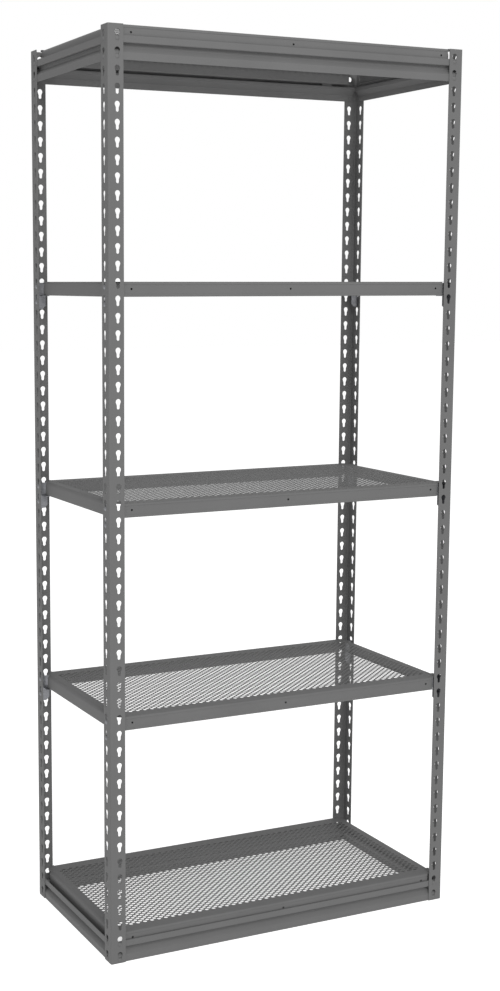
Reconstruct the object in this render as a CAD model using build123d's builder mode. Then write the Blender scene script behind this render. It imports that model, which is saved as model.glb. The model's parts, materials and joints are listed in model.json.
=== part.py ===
from build123d import *
import os

# Boltless steel shelving: four keyholed angle posts, a ring of double-rivet beams at the
# top and at the bottom, riveted corner brackets for the shelves between them, and five
# formed sheet decks that lift out upwards.
# Millimetres. +X is the width, +Y runs from the front to the back, +Z is up.
# The origin is on the floor, in the middle of the width and of the depth.

# Overall sizes
width = 929.0
depth = 471.0
keyhole_count = 56
pitch = 38.1

# Posts
post_flange = 37.3
post_wall = 1.9
post_bend_radius = 3.6

# Keyholes, one column in each flange of a post
keyhole_line = 22.9
keyhole_round = 12.7
keyhole_slot = 7.4
keyhole_drop = 13.3
keyhole_taper_top = 1.7
keyhole_taper_bottom = 8.0
first_keyhole_depth = 17.2

# Shelf levels, as the seat that takes the upper rivet, counted down from the top keyhole
top_seat = 1
upper_seat = 15
middle_seat = 28
lower_seat = 41
bottom_seat = keyhole_count - 1

# Rivets
rivet_shank = 6.5
rivet_head = 10.6
rivet_head_height = 2.5
rivet_tail = 7.6
rivet_tail_height = 1.2
rivet_hole_clearance = 0.1

# Double-rivet beams
beam_wall = 1.5
beam_bend = 1.2
beam_above_rivet = 7.5
beam_below_rivet = 6.3
ledge_below_rivet = 7.0
groove_depth = 10.1
groove_wall = 8.4
groove_slope = 11.6
beam_corner_gap = 1.0

# Corner brackets
bracket_wall = 1.5
bracket_height = 64.0
bracket_below_deck = 2.4
bracket_post_gap = 5.0
bracket_rivet_gap = 0.3
bracket_reach = 20.1
bracket_corner_cut = 8.0
bracket_seat_length = 26.0
bracket_seat_width = 14.0

# Sheet decks
deck_wall = 0.9
deck_height = 33.2
deck_beam_gap = 1.6
deck_ledge_gap = 0.5
deck_post_gap = 1.7
deck_corner_length = 34.0
deck_long_bend = 4.0
deck_short_bend = 9.0
deck_lip_bend = 2.4
deck_long_lip = 19.0
deck_long_return = 30.4
deck_short_lip = 5.5
deck_rim = 6.0
deck_band = 21.0
deck_crease = 0.9
deck_crease_bend = 0.2
deck_above_rivet = 12.1
label_hole = 4.8
label_hole_depth = 16.0
label_hole_inset = 19.1
foot_height = 4.7
foot_length = 30.0
foot_width = 5.5
foot_inset = 60.0

# Worked out from the sizes above
height = keyhole_count * pitch
left = -width / 2
front = -depth / 2
rivet_radius = rivet_shank / 2
rivet_hole_radius = rivet_radius + rivet_hole_clearance
ledge_tip = post_wall + groove_depth + beam_wall
beam_end = ledge_tip + beam_corner_gap
deck_front = post_wall + beam_wall + deck_beam_gap
deck_side = ledge_tip + deck_ledge_gap
deck_width = width - 2 * deck_side
deck_depth = depth - 2 * deck_front
deck_long_edge = width - 2 * (post_flange + deck_post_gap)
deck_short_edge = deck_depth - 2 * deck_corner_length


def round_level(seat):
    return height - first_keyhole_depth - pitch * (seat - 1)


def rivet_level(seat):
    return round_level(seat) - keyhole_drop - keyhole_slot / 2 + rivet_radius


def ledge_level(seat):
    return rivet_level(seat) - ledge_below_rivet


def save(part, name):
    part.label = name
    export_step(part, f"parts/{name}.step")


def mirrored(part, plane):
    with BuildPart() as copy:
        mirror(part, about=plane)
    return copy.part


def save_four_corners(part, name):
    rear = mirrored(part, Plane.XZ)
    save(part, f"{name}_front_left")
    save(mirrored(part, Plane.YZ), f"{name}_front_right")
    save(rear, f"{name}_rear_left")
    save(mirrored(rear, Plane.YZ), f"{name}_rear_right")


# Posts

def make_keyhole_column(along):
    half_round = keyhole_round / 2
    half_slot = keyhole_slot / 2
    half_taper = (half_round**2 - keyhole_taper_top**2) ** 0.5
    with BuildSketch() as keyhole:
        Circle(half_round)
        Polygon((-half_taper, -keyhole_taper_top), (half_taper, -keyhole_taper_top),
                (half_slot, -keyhole_taper_bottom), (-half_slot, -keyhole_taper_bottom),
                align=None)
        Rectangle(keyhole_slot, keyhole_drop, align=(Align.CENTER, Align.MAX))
        with Locations((0, -keyhole_drop)):
            Circle(half_slot)
    with BuildSketch() as column:
        with Locations(*[(along, round_level(seat)) for seat in range(1, keyhole_count + 1)]):
            add(keyhole.sketch)
    return column.sketch


def make_post():
    with BuildPart() as post:
        with BuildSketch():
            with BuildLine():
                Polyline((left + post_flange, front), (left, front), (left, front + post_flange),
                         (left + post_wall, front + post_flange),
                         (left + post_wall, front + post_wall),
                         (left + post_flange, front + post_wall), close=True)
            make_face()
            fillet(vertices().sort_by_distance((left, front))[0], post_bend_radius)
            inner_corner = vertices().sort_by_distance((left + post_wall, front + post_wall))[0]
            fillet(inner_corner, post_bend_radius - post_wall)
        extrude(amount=height)
        with BuildSketch(Plane.XZ.offset(-front)):
            add(make_keyhole_column(left + keyhole_line))
        extrude(amount=-post_wall, mode=Mode.SUBTRACT)
        with BuildSketch(Plane.YZ.offset(left)):
            add(make_keyhole_column(front + keyhole_line))
        extrude(amount=post_wall, mode=Mode.SUBTRACT)
    return post.part


# Rivets: a domed head outside the post, a shank through the slot and a flat tail inside

def make_rivet(grip):
    half_head = rivet_head / 2
    dome_radius = (half_head**2 + rivet_head_height**2) / (2 * rivet_head_height)
    with BuildPart() as rivet:
        with BuildSketch(Plane.XZ):
            with BuildLine():
                Polyline((0, rivet_head_height), (0, -grip - rivet_tail_height),
                         (rivet_tail / 2, -grip - rivet_tail_height), (rivet_tail / 2, -grip),
                         (rivet_radius, -grip), (rivet_radius, 0), (half_head, 0))
                RadiusArc((half_head, 0), (0, rivet_head_height), -dome_radius)
            make_face()
        revolve(axis=Axis.Z)
    return rivet.part


def make_rivets(seat, on_front, side_wall):
    side_rivet = make_rivet(post_wall + side_wall)
    front_rivet = make_rivet(post_wall + beam_wall)
    with BuildPart() as rivets:
        for level in (rivet_level(seat), rivet_level(seat + 1)):
            with Locations(Location((left, front + keyhole_line, level), (0, -90, 0))):
                add(side_rivet)
            if on_front:
                with Locations(Location((left + keyhole_line, front, level), (90, 0, 0))):
                    add(front_rivet)
        mirror(about=Plane.YZ)
        mirror(about=Plane.XZ)
    return rivets.part


# Double-rivet beams: a web against the posts, with a ledge pressed inwards for the deck

def make_beam(seat, section_plane, web_plane, inward, face, length, rivet_distance):
    groove_top = ledge_level(seat) - beam_wall
    groove_bottom = groove_top - groove_wall
    with BuildPart() as beam:
        with BuildSketch(section_plane):
            with BuildLine():
                FilletPolyline((face, rivet_level(seat) + beam_above_rivet), (face, groove_top),
                               (face + groove_depth, groove_top),
                               (face + groove_depth, groove_bottom),
                               (face, groove_bottom - groove_slope),
                               (face, rivet_level(seat + 1) - beam_below_rivet),
                               radius=(beam_bend + beam_wall, beam_bend,
                                       beam_bend, beam_bend + beam_wall))
                offset(amount=beam_wall, side=Side.LEFT)
            make_face()
        extrude(amount=length / 2, both=True)
        with BuildSketch(web_plane):
            for level in (rivet_level(seat), rivet_level(seat + 1)):
                with Locations((-rivet_distance, level), (rivet_distance, level)):
                    Circle(rivet_hole_radius)
        extrude(amount=inward * beam_wall, mode=Mode.SUBTRACT)
    return beam.part


def make_front_beam(seat):
    face = front + post_wall
    return make_beam(seat, Plane.YZ, Plane.XZ.offset(-face), -1, face,
                     width - 2 * beam_end, width / 2 - keyhole_line)


def make_left_beam(seat):
    face = left + post_wall
    return make_beam(seat, Plane.XZ, Plane.YZ.offset(face), 1, face,
                     depth - 2 * beam_end, depth / 2 - keyhole_line)


# Corner brackets: one leg riveted inside the post, one across it, and a seat for the deck

def make_bracket(seat):
    deck_top = rivet_level(seat) + deck_above_rivet
    bottom = deck_top - bracket_below_deck - bracket_height
    wall_x = left + post_wall
    near_y = front + post_wall + bracket_post_gap
    leg_y = front + keyhole_line + rivet_tail / 2 + bracket_rivet_gap
    with BuildPart() as bracket:
        with BuildSketch(Plane.XY.offset(bottom)):
            with BuildLine():
                Polyline((wall_x, near_y), (wall_x, leg_y + bracket_wall),
                         (wall_x + bracket_reach, leg_y + bracket_wall),
                         (wall_x + bracket_reach, leg_y), (wall_x + bracket_wall, leg_y),
                         (wall_x + bracket_wall, near_y), close=True)
            make_face()
            bend = vertices().sort_by_distance((wall_x, leg_y + bracket_wall))[0]
            fillet(bend, bracket_wall)
        extrude(amount=bracket_height)
        far_edges = edges().filter_by(Axis.Y).group_by(Axis.X)[-1]
        chamfer(far_edges.sort_by(Axis.Z)[0], bracket_corner_cut)
        with BuildSketch(Plane.XY.offset(deck_top - deck_height)):
            with Locations((wall_x + bracket_reach, leg_y + bracket_wall)):
                Rectangle(bracket_seat_width, bracket_seat_length, align=(Align.MAX, Align.MIN))
        extrude(amount=-bracket_wall)
        with BuildSketch(Plane.YZ.offset(wall_x)):
            with Locations((front + keyhole_line, rivet_level(seat)),
                           (front + keyhole_line, rivet_level(seat + 1))):
                Circle(rivet_hole_radius)
        extrude(amount=bracket_wall, mode=Mode.SUBTRACT)
    return bracket.part


# Decks: a plate with a folded edge on each side and open corners. The long edges are
# box-formed: a creased face, a lip under it and a return that reaches up behind it. The
# short edges have a lip.

def make_tray(plane, half_span, top, profile, radii, length):
    near_side = [(inset - half_span, top - drop) for inset, drop in profile]
    far_side = [(-across, level) for across, level in reversed(near_side)]
    with BuildPart() as tray:
        with BuildSketch(plane):
            with BuildLine():
                FilletPolyline(*near_side, *far_side, radius=radii + radii[::-1])
                offset(amount=deck_wall, side=Side.RIGHT)
            make_face()
        extrude(amount=length / 2, both=True)
    return tray.part


def make_long_tray(top):
    band_bottom = deck_rim + deck_band
    profile = [(deck_long_lip, deck_height - deck_long_return), (deck_long_lip, deck_height),
               (0, deck_height), (0, band_bottom + deck_crease), (deck_crease, band_bottom),
               (deck_crease, deck_rim + deck_crease), (0, deck_rim), (0, 0)]
    sharp = deck_crease_bend
    wide = deck_crease_bend + deck_wall
    radii = [deck_lip_bend, deck_lip_bend, wide, sharp, sharp, wide, deck_long_bend]
    return make_tray(Plane.YZ, deck_depth / 2, top, profile, radii, deck_long_edge)


def make_short_tray(top):
    profile = [(deck_short_lip, deck_height), (0, deck_height), (0, 0)]
    radii = [deck_lip_bend, deck_short_bend]
    return make_tray(Plane.XZ, deck_width / 2, top, profile, radii, deck_short_edge)


def make_deck(top, has_feet):
    with BuildPart() as deck:
        add(make_long_tray(top))
        add(make_short_tray(top))
        with BuildSketch(Plane.XY.offset(top)):
            with GridLocations(deck_long_edge, deck_short_edge, 2, 2):
                Ellipse((deck_width - deck_long_edge) / 2, deck_corner_length)
            Rectangle(deck_long_edge, deck_depth, mode=Mode.SUBTRACT)
            Rectangle(deck_width, deck_short_edge, mode=Mode.SUBTRACT)
        extrude(amount=-deck_wall)
        for side in (-1, 1):
            with BuildSketch(Plane.XZ.offset(side * deck_depth / 2)):
                with Locations((0, top - label_hole_depth)):
                    with GridLocations(deck_long_edge / 2 - label_hole_inset, 1, 3, 1):
                        Circle(label_hole / 2)
            extrude(amount=-side * (deck_crease + 2 * deck_wall), mode=Mode.SUBTRACT)
        if has_feet:
            foot_x = deck_long_edge - 2 * foot_inset
            foot_y = deck_depth - 2 * deck_lip_bend - foot_width
            with BuildSketch(Plane.XY.offset(top - deck_height)):
                with GridLocations(foot_x, foot_y, 2, 2):
                    Rectangle(foot_length, foot_width)
            extrude(amount=-foot_height)
    return deck.part


os.makedirs("parts", exist_ok=True)

save_four_corners(make_post(), "post")

for level_name, seat in (("top", top_seat), ("bottom", bottom_seat)):
    front_beam = make_front_beam(seat)
    left_beam = make_left_beam(seat)
    save(front_beam, f"beam_{level_name}_front")
    save(mirrored(front_beam, Plane.XZ), f"beam_{level_name}_rear")
    save(left_beam, f"beam_{level_name}_left")
    save(mirrored(left_beam, Plane.YZ), f"beam_{level_name}_right")
    save(make_rivets(seat, True, beam_wall), f"rivets_{level_name}")

save(make_deck(ledge_level(top_seat) + foot_height + deck_height, True), "deck_top")
save(make_deck(ledge_level(bottom_seat) + deck_height, False), "deck_bottom")

for level_name, seat in (("upper", upper_seat), ("middle", middle_seat), ("lower", lower_seat)):
    save_four_corners(make_bracket(seat), f"bracket_{level_name}")
    save(make_rivets(seat, False, bracket_wall), f"rivets_{level_name}")
    save(make_deck(rivet_level(seat) + deck_above_rivet, False), f"deck_{level_name}")
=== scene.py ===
import json
import math
import bpy
import bmesh
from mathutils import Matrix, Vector


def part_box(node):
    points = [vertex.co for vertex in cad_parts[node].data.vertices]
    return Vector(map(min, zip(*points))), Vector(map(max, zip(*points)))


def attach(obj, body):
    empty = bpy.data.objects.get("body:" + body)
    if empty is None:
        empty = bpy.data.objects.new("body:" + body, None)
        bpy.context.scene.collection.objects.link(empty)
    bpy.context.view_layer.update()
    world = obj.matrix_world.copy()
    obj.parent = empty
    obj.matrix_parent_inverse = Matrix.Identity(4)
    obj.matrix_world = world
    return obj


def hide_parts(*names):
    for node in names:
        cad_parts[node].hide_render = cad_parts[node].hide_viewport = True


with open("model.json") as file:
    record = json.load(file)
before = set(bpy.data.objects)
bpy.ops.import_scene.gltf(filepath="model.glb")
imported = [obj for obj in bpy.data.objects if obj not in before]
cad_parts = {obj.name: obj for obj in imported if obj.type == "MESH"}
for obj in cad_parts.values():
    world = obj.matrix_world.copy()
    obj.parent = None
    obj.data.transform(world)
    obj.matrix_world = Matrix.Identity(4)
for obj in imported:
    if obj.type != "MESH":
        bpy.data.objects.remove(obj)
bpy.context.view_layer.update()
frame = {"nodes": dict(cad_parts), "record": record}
mm = 0.001
print("frame loaded:", len(frame["nodes"]), "nodes")


camera = {
    "place": (-1.8144, -3.3658, 1.5800),
    "turn": 25.03,        # degrees from straight ahead towards the right
    "tilt": -7.78,        # degrees below level
    "lens": 55.83,
    "sensor": 36,
    "shiftX": 0.0963,
    "shiftY": -0.0032,
    "farthest": 200,      # m
}


def addCamera(size):
    data = bpy.data.cameras.new("camera")
    data.lens = size["lens"]
    data.sensor_width = size["sensor"]
    data.shift_x = size["shiftX"]
    data.shift_y = size["shiftY"]
    data.dof.use_dof = False
    data.clip_end = size["farthest"]
    eye = bpy.data.objects.new("camera", data)
    eye.location = size["place"]
    eye.rotation_euler = (math.radians(90 + size["tilt"]), 0, math.radians(-size["turn"]))
    bpy.context.scene.collection.objects.link(eye)
    bpy.context.scene.camera = eye


addCamera(camera)
print("camera set")


def linear(hexColour):
    # an sRGB hex colour as the linear values that the shaders read
    parts = [int(hexColour[i:i + 2], 16) / 255 for i in (1, 3, 5)]
    return tuple(c / 12.92 if c <= 0.04045 else ((c + 0.055) / 1.055) ** 2.4 for c in parts) + (1,)


def perMetre(millimetres):
    return 1 / (millimetres * mm)


def addNode(tree, kind, inputs, **settings):
    # a shader node with its settings, and each input given as a value or as the output it reads
    node = tree.nodes.new("ShaderNode" + kind)
    for name, value in settings.items():
        setattr(node, name, value)
    for socket, value in inputs.items():
        if isinstance(value, bpy.types.NodeSocket):
            tree.links.new(value, node.inputs[socket])
        else:
            node.inputs[socket].default_value = value
    return node


def newMaterial(name):
    material = bpy.data.materials.new(name)
    material.use_nodes = True
    tree = material.node_tree
    tree.nodes.clear()
    shader = addNode(tree, "BsdfPrincipled", {})
    addNode(tree, "OutputMaterial", {"Surface": shader.outputs["BSDF"]})
    return material, tree, shader


def varyRoughness(tree, shader, pattern, size):
    # smoother and rougher patches that follow a noise pattern
    patchLow, patchHigh = size["patchRange"]
    smooth, rough = size["roughness"]
    spread = addNode(tree, "MapRange", {"Value": pattern, "From Min": patchLow,
                                        "From Max": patchHigh, "To Min": smooth, "To Max": rough})
    tree.links.new(spread.outputs[0], shader.inputs["Roughness"])


# Satin powder coat on sheet steel: sprayed dry and baked, so it has a fine orange peel, hardly
# any colour change, and a soft wide highlight.
powderCoat = {
    "colour": "#626262",
    "paleColour": "#686868",
    "shadeRange": (0.7, 1.3),   # of cloud and speckle together, from one colour to the other
    "cloud": 160,               # mm, slow change of shade over a panel
    "cloudDetail": 3,
    "speckle": 1.1,             # mm, grain of the powder
    "speckleDetail": 1,
    "peel": 2.2,                # mm, width of one orange peel dimple, drawn coarse enough to show
    "peelDetail": 1,
    "peelHeight": 0.035,        # mm
    "peelStrength": 0.5,
    "patchRange": (0.3, 0.7),   # of the cloud, from the smoothest patches to the roughest
    "roughness": (0.50, 0.62),
    "specular": 0.25,
}


def makePowderCoat(name, coat):
    material, tree, shader = newMaterial(name)
    place = addNode(tree, "TexCoord", {}).outputs["Object"]
    cloud = addNode(tree, "TexNoise", {"Vector": place, "Scale": perMetre(coat["cloud"]),
                                       "Detail": coat["cloudDetail"]})
    speckle = addNode(tree, "TexNoise", {"Vector": place, "Scale": perMetre(coat["speckle"]),
                                         "Detail": coat["speckleDetail"]})
    shade = addNode(tree, "Math", {0: cloud.outputs["Fac"], 1: speckle.outputs["Fac"]},
                    operation="ADD")
    shadeLow, shadeHigh = coat["shadeRange"]
    mix = addNode(tree, "MapRange", {"Value": shade.outputs[0], "From Min": shadeLow,
                                     "From Max": shadeHigh})
    colour = addNode(tree, "MixRGB", {"Fac": mix.outputs[0], "Color1": linear(coat["colour"]),
                                      "Color2": linear(coat["paleColour"])})
    tree.links.new(colour.outputs[0], shader.inputs["Base Color"])
    varyRoughness(tree, shader, cloud.outputs["Fac"], coat)
    shader.inputs["Specular IOR Level"].default_value = coat["specular"]
    peel = addNode(tree, "TexNoise", {"Vector": place, "Scale": perMetre(coat["peel"]),
                                      "Detail": coat["peelDetail"]})
    bump = addNode(tree, "Bump", {"Height": peel.outputs["Fac"], "Strength": coat["peelStrength"],
                                  "Distance": coat["peelHeight"] * mm})
    tree.links.new(bump.outputs["Normal"], shader.inputs["Normal"])
    return material


# Dull zinc plate on steel: electroplated, so it is a grey metal with a faint crystal cloudiness.
zincPlate = {
    "colour": "#96979a",
    "darkColour": "#85868a",
    "crystal": 2.5,             # mm, one patch of the plating
    "handling": 18,             # mm, dull patches from handling
    "handlingDetail": 3,
    "patchRange": (0.3, 0.7),   # of the handling, from the smoothest patches to the roughest
    "roughness": (0.34, 0.52),
}


def makeZincPlate(name, zinc):
    material, tree, shader = newMaterial(name)
    place = addNode(tree, "TexCoord", {}).outputs["Object"]
    crystal = addNode(tree, "TexVoronoi", {"Vector": place, "Scale": perMetre(zinc["crystal"])})
    handling = addNode(tree, "TexNoise", {"Vector": place, "Scale": perMetre(zinc["handling"]),
                                          "Detail": zinc["handlingDetail"]})
    grey = addNode(tree, "SeparateColor", {"Color": crystal.outputs["Color"]})
    colour = addNode(tree, "MixRGB", {"Fac": grey.outputs[0], "Color1": linear(zinc["colour"]),
                                      "Color2": linear(zinc["darkColour"])})
    tree.links.new(colour.outputs[0], shader.inputs["Base Color"])
    varyRoughness(tree, shader, handling.outputs["Fac"], zinc)
    shader.inputs["Metallic"].default_value = 1.0
    return material


finishes = {
    "post_enamel": makePowderCoat("powderCoatedPost", powderCoat),
    "beam_enamel": makePowderCoat("powderCoatedBeam", powderCoat),
    "deck_enamel": makePowderCoat("powderCoatedDeck", powderCoat),
    "rivet_enamel": makePowderCoat("powderCoatedRivet", powderCoat),
    "zinc_plate": makeZincPlate("zincPlatedBracket", zincPlate),
    "zinc_rivet": makeZincPlate("zincPlatedRivet", zincPlate),
}
for entry in frame["record"]["subparts"]:
    node = frame["nodes"][entry["node"]]
    node.data.materials.clear()
    node.data.materials.append(finishes[entry["material_slot"]])
print("materials made:", len(finishes))


# The top of every deck: two equal grids of round holes, one half a pitch over from the other.
perforation = {
    "pitchX": 18.345,     # mm between holes along a row
    "pitchY": 15.40,      # mm between rows of one grid, with a row of the other grid between
    "hole": 10.1,         # mm across
    "sides": 12,
    "marginX": 28.6,      # mm from the deck's edge to the middle of the first hole
    "marginY": 37.7,
    "plainBorder": 2.3,   # mm of plain sheet kept round the grids, inside the cut
    "sheet": 0.9,         # mm
    "cellWeld": 0.02,     # mm, within which corners of neighbouring cells are one
    "edgeNear": 0.01,     # mm, within which a face lies on the sheet's outer edge
    "deckWeld": 0.01,     # mm, within which the sheet's corners and the deck's are one
}

# The deck's own mesh, as its loose triangles are joined up and cut.
deckMesh = {
    "weld": 0.001,        # mm
    "cutNear": 0.0001,    # mm, within which a corner lies on the cut
    "flat": 0.2,          # degrees, under which two faces are one
    "sharp": 35,          # degrees, over which an edge is a corner and not a bend
    "level": 0.999,       # how squarely a face of the plate looks up or down
    "plateReach": 1.5,    # sheets below the deck's top, the depth that holds the whole plate
}


def cellCorners(width, height):
    # the six corners of the part of the sheet that is nearer to one hole than to any other
    side = (width**2 + height**2) / (4 * width)
    shoulder = side - height**2 / (2 * width)
    return [(side, 0), (shoulder, height / 2), (-shoulder, height / 2),
            (-side, 0), (-shoulder, -height / 2), (shoulder, -height / 2)]


def repeatAlong(bm, count, step):
    # copies of everything in bm, count in all, each a step on from the last
    base = bm.verts[:] + bm.edges[:] + bm.faces[:]
    for i in range(1, count):
        copy = bmesh.ops.duplicate(bm, geom=base)["geom"]
        moved = [v for v in copy if isinstance(v, bmesh.types.BMVert)]
        bmesh.ops.translate(bm, verts=moved, vec=Vector(step) * i)


def makeHoleGrid(size, columns, rows, start):
    # one hole in its own cell of sheet, repeated in columns and rows
    pitchX, pitchY = size["pitchX"] * mm, size["pitchY"] * mm
    bm = bmesh.new()
    cell = bmesh.ops.create_circle(bm, segments=6, radius=pitchX)["verts"]
    for vert, corner in zip(cell, cellCorners(pitchX, pitchY)):
        vert.co = (corner[0], corner[1], 0)
    for edge in bm.edges:
        edge.seam = True      # marks the cell's outline, as the hole's own edge isn't marked
    bmesh.ops.create_circle(bm, segments=size["sides"], radius=size["hole"] / 2 * mm)
    bmesh.ops.bridge_loops(bm, edges=bm.edges[:])
    bmesh.ops.translate(bm, verts=bm.verts, vec=start)
    repeatAlong(bm, columns, (pitchX, 0, 0))
    repeatAlong(bm, rows, (0, pitchY, 0))
    mesh = bpy.data.meshes.new("holeGrid")
    bm.to_mesh(mesh)
    bm.free()
    return mesh


def makePerforatedSheet(size, deckLength, deckDepth):
    # both staggered grids welded together, a plain border round them, and the sheet's thickness
    stepX, stepY = size["pitchX"] * mm / 2, size["pitchY"] * mm / 2
    halfColumns = round((deckLength / 2 - size["marginX"] * mm) / stepX)
    halfRows = round((deckDepth / 2 - size["marginY"] * mm) / stepY)
    bm = bmesh.new()
    for offset in (0, 1):
        acrossX = halfColumns - (halfColumns + offset) % 2
        acrossY = halfRows - (halfRows + offset) % 2
        start = (-acrossX * stepX, -acrossY * stepY, 0)
        grid = makeHoleGrid(size, acrossX + 1, acrossY + 1, start)
        bm.from_mesh(grid)
        bpy.data.meshes.remove(grid)
    bmesh.ops.remove_doubles(bm, verts=bm.verts, dist=size["cellWeld"] * mm)
    outline = [edge for edge in bm.edges if edge.is_boundary and edge.seam]
    border = size["plainBorder"] * mm
    halfX = max(v.co.x for v in bm.verts) + border
    halfY = max(v.co.y for v in bm.verts) + border
    rim = bmesh.ops.create_circle(bm, segments=4, radius=1)["verts"]
    corners = [(halfX, halfY), (-halfX, halfY), (-halfX, -halfY), (halfX, -halfY)]
    for vert, corner in zip(rim, corners):
        vert.co = (corner[0], corner[1], 0)
    rimEdges = [edge for edge in bm.edges if edge.is_wire]
    bmesh.ops.triangle_fill(bm, edges=outline + rimEdges, use_beauty=True, normal=(0, 0, 1))
    bmesh.ops.recalc_face_normals(bm, faces=bm.faces)
    bmesh.ops.solidify(bm, geom=bm.faces[:], thickness=size["sheet"] * mm)

    # the deck's plate goes on past the sheet, so the sheet has no wall at its outer edge
    near = size["edgeNear"] * mm

    def isOuterWall(face):
        middle = face.calc_center_median()
        atEdge = abs(middle.x) > halfX - near or abs(middle.y) > halfY - near
        return abs(face.normal.z) < 0.5 and atEdge
    outer = [face for face in bm.faces if isOuterWall(face)]
    bmesh.ops.delete(bm, geom=outer, context="FACES_ONLY")
    mesh = bpy.data.meshes.new("perforatedSheet")
    bm.to_mesh(mesh)
    bm.free()
    return mesh, halfX, halfY


def cutPlate(bm, size, top, halfX, halfY, sheet):
    # takes a rectangle out of the deck's plain plate, through both of its faces
    def isPlate(face):
        isLevel = abs(face.normal.z) > size["level"]
        return isLevel and face.calc_center_median().z > top - size["plateReach"] * sheet

    def isInside(face):
        middle = face.calc_center_median()
        return abs(middle.x) < halfX and abs(middle.y) < halfY
    sides = (((1, 0, 0), halfX), ((-1, 0, 0), halfX), ((0, 1, 0), halfY), ((0, -1, 0), halfY))
    for normal, distance in sides:
        plate = [face for face in bm.faces if isPlate(face)]
        around = {item for face in plate for item in (*face.verts, *face.edges, face)}
        bmesh.ops.bisect_plane(bm, geom=list(around), dist=size["cutNear"] * mm,
                               plane_co=Vector(normal) * distance, plane_no=normal)
    inside = [face for face in bm.faces if isPlate(face) and isInside(face)]
    bmesh.ops.delete(bm, geom=inside, context="FACES")


def makeDeck(name, size, sheetMesh, halfX, halfY):
    # the deck's folded edges as designed, with the perforated sheet in place of its plain plate
    bm = bmesh.new()
    bm.from_mesh(frame["nodes"]["deck_" + name].data)
    bmesh.ops.remove_doubles(bm, verts=bm.verts, dist=size["weld"] * mm)
    bmesh.ops.dissolve_limit(bm, angle_limit=math.radians(size["flat"]),
                             verts=bm.verts, edges=bm.edges)
    top = max(v.co.z for v in bm.verts)
    cutPlate(bm, size, top, halfX, halfY, perforation["sheet"] * mm)
    bmesh.ops.translate(bm, verts=bm.verts, vec=(0, 0, -top))
    bm.from_mesh(sheetMesh)
    bmesh.ops.remove_doubles(bm, verts=bm.verts, dist=perforation["deckWeld"] * mm)
    bmesh.ops.translate(bm, verts=bm.verts, vec=(0, 0, top))
    for face in bm.faces:
        face.smooth = True
    mesh = bpy.data.meshes.new("perforatedDeck_" + name)
    bm.to_mesh(mesh)
    bm.free()
    mesh.set_sharp_from_angle(angle=math.radians(size["sharp"]))
    mesh.materials.clear()
    mesh.materials.append(finishes["deck_enamel"])
    deck = bpy.data.objects.new("perforatedDeck_" + name, mesh)
    bpy.context.scene.collection.objects.link(deck)
    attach(deck, name + "_deck")
    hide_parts("deck_" + name)


deckLow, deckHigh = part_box("deck_middle")
sheetMesh, halfX, halfY = makePerforatedSheet(perforation, deckHigh[0] - deckLow[0],
                                              deckHigh[1] - deckLow[1])
for level in ("top", "upper", "middle", "lower", "bottom"):
    makeDeck(level, deckMesh, sheetMesh, halfX, halfY)
bpy.data.meshes.remove(sheetMesh)
print("decks made, with", round(2 * halfX / mm), "by", round(2 * halfY / mm),
      "mm of perforated sheet")


studio = {
    "floor": 60,          # m across
    "floorSeen": 0.90,    # how pale the paper floor looks
    "floorGlow": 0.55,    # light from below the paper, which fades the shadow on it
    "floorBounce": 0.30,  # how much of the light it throws back up at the shelving
    "floorLight": 0.75,   # light that the paper sends up by itself
    "worldWhite": 1.0,    # brightness of the backdrop itself
    "worldLight": 0.59,   # how much of it falls on the shelving
    "keyPower": 580,      # W, one large soft light, above the front and a little to its left
    "keyAim": 1.0,        # m, height that it points at
    "keyTurn": 16,        # degrees left of straight in front
    "keyRise": 38,        # degrees above level
    "keyDistance": 10,    # m
    "keySize": 4,         # m across
}


def addFloor(size):
    bm = bmesh.new()
    bmesh.ops.create_grid(bm, x_segments=1, y_segments=1, size=size["floor"] / 2)
    mesh = bpy.data.meshes.new("floor")
    bm.to_mesh(mesh)
    bm.free()
    material, tree, shader = newMaterial("paperFloor")
    seen = addNode(tree, "LightPath", {}).outputs["Is Camera Ray"]
    shade = addNode(tree, "MapRange", {"Value": seen, "To Min": size["floorBounce"],
                                       "To Max": size["floorSeen"]})
    glow = addNode(tree, "MapRange", {"Value": seen, "To Min": size["floorLight"],
                                      "To Max": size["floorGlow"]})
    tree.links.new(shade.outputs[0], shader.inputs["Base Color"])
    tree.links.new(glow.outputs[0], shader.inputs["Emission Strength"])
    shader.inputs["Emission Color"].default_value = (1, 1, 1, 1)
    shader.inputs["Roughness"].default_value = 1.0
    shader.inputs["Specular IOR Level"].default_value = 0.0
    mesh.materials.append(material)
    floor = bpy.data.objects.new("floor", mesh)
    bpy.context.scene.collection.objects.link(floor)


def addWorld(size):
    world = bpy.data.worlds.new("studio")
    world.use_nodes = True
    tree = world.node_tree
    tree.nodes.clear()
    seen = addNode(tree, "LightPath", {}).outputs["Is Camera Ray"]
    strength = addNode(tree, "MapRange", {"Value": seen, "To Min": size["worldLight"],
                                          "To Max": size["worldWhite"]})
    light = addNode(tree, "Background", {"Color": (1, 1, 1, 1), "Strength": strength.outputs[0]})
    addNode(tree, "OutputWorld", {"Surface": light.outputs[0]})
    bpy.context.scene.world = world


def addKeyLight(size):
    turn, rise = math.radians(size["keyTurn"]), math.radians(size["keyRise"])
    towards = Vector((-math.sin(turn) * math.cos(rise), -math.cos(turn) * math.cos(rise),
                      math.sin(rise)))
    data = bpy.data.lights.new("keyLight", "AREA")
    data.energy = size["keyPower"]
    data.size = size["keySize"]
    light = bpy.data.objects.new("keyLight", data)
    light.location = Vector((0, 0, size["keyAim"])) + towards * size["keyDistance"]
    light.rotation_euler = towards.to_track_quat("Z", "Y").to_euler()
    bpy.context.scene.collection.objects.link(light)


addFloor(studio)
addWorld(studio)
addKeyLight(studio)
bpy.context.scene.view_settings.view_transform = "Standard"
print("studio set")
